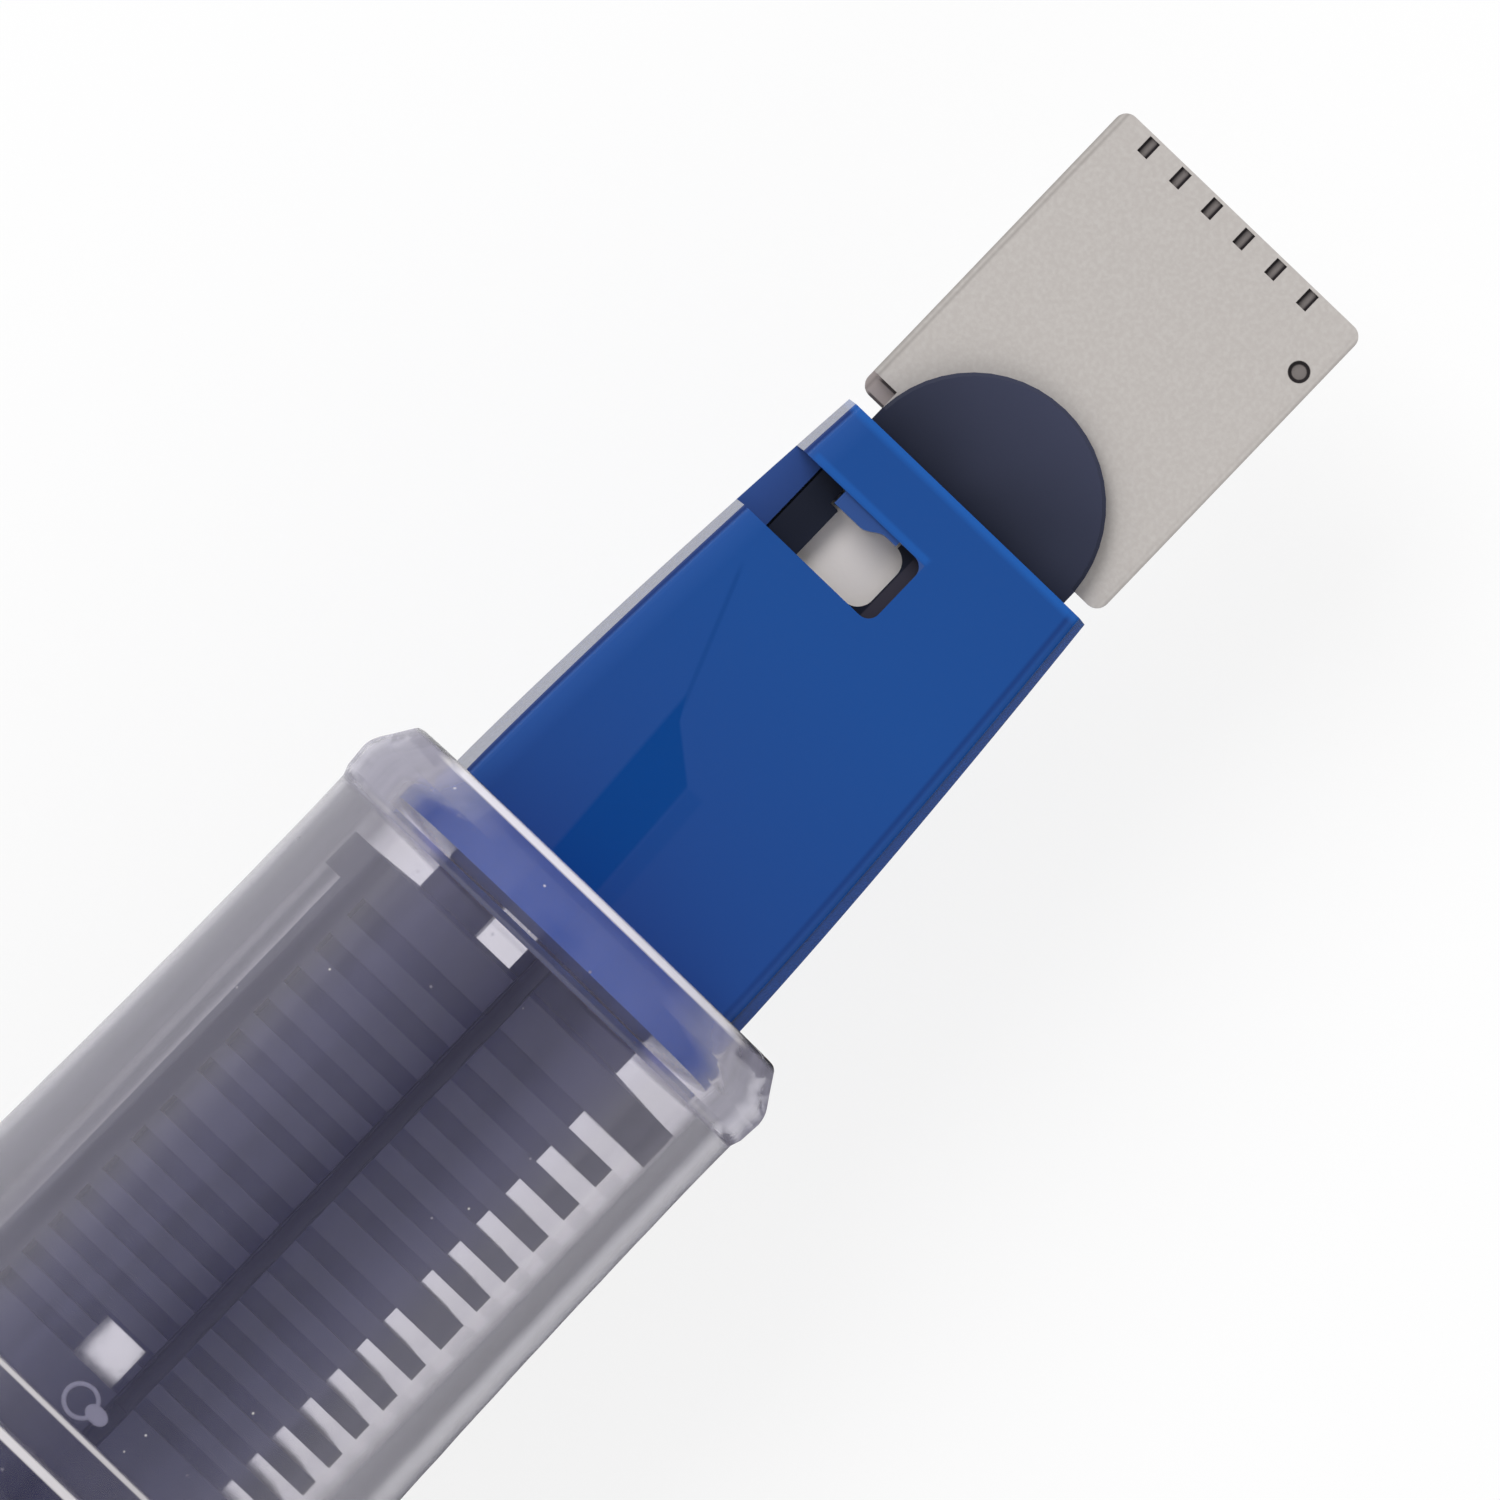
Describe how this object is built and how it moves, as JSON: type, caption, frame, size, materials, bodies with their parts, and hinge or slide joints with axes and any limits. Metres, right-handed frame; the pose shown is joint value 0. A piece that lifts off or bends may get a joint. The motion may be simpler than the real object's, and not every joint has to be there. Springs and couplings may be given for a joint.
{
  "type": "parallel plate calligraphy pen",
  "caption": "Uncapped fountain pen for broad lettering: two parallel steel plates, black feed, blue nib holder, clear grip over an ink comb, cartridge and long tapered barrel.",
  "frame": {"origin": "centre of the bounding box, on the pen's own axis", "axes": "+X along the pen towards the writing edge, +Z out of the face of the top nib plate, +Y to the left seen from above with the writing edge away from the reader"},
  "size_m": [0.176, 0.014, 0.014],
  "materials": {
    "plate_steel": "fine-grained matte stainless steel",
    "feed_black": "satin blue-black moulding",
    "holder_blue": "glossy royal blue moulding",
    "frosted_clear": "clear moulding with a soft frost",
    "cartridge_clear": "clear cartridge filled with blue-black ink",
    "seal_white": "white moulding",
    "barrel_black": "polished black moulding"
  },
  "bodies": {
    "barrel": {"barrel": "barrel_black", "tail_plug": "barrel_black"},
    "section": {"grip_section": "frosted_clear", "section_ring": "holder_blue"},
    "nib_unit": {"nib_plate_top": "plate_steel", "nib_plate_bottom": "plate_steel", "feed_half_top": "feed_black", "feed_half_bottom": "feed_black", "feed_strip": "feed_black", "nib_holder": "holder_blue", "ink_collector": "feed_black", "cartridge_nipple": "feed_black"},
    "cartridge": {"cartridge_body": "cartridge_clear", "cartridge_seal_disc": "seal_white"}
  },
  "joints": [
    {"name": "section_pull", "type": "slide", "parent": "barrel", "child": "section", "axis": [1, 0, 0], "range_m": [0, 0.06]},
    {"name": "nib_unit_pull", "type": "slide", "parent": "section", "child": "nib_unit", "axis": [1, 0, 0], "range_m": [0, 0.022]},
    {"name": "cartridge_pull", "type": "slide", "parent": "section", "child": "cartridge", "axis": [-1, 0, 0], "range_m": [0, 0.015]}
  ]
}
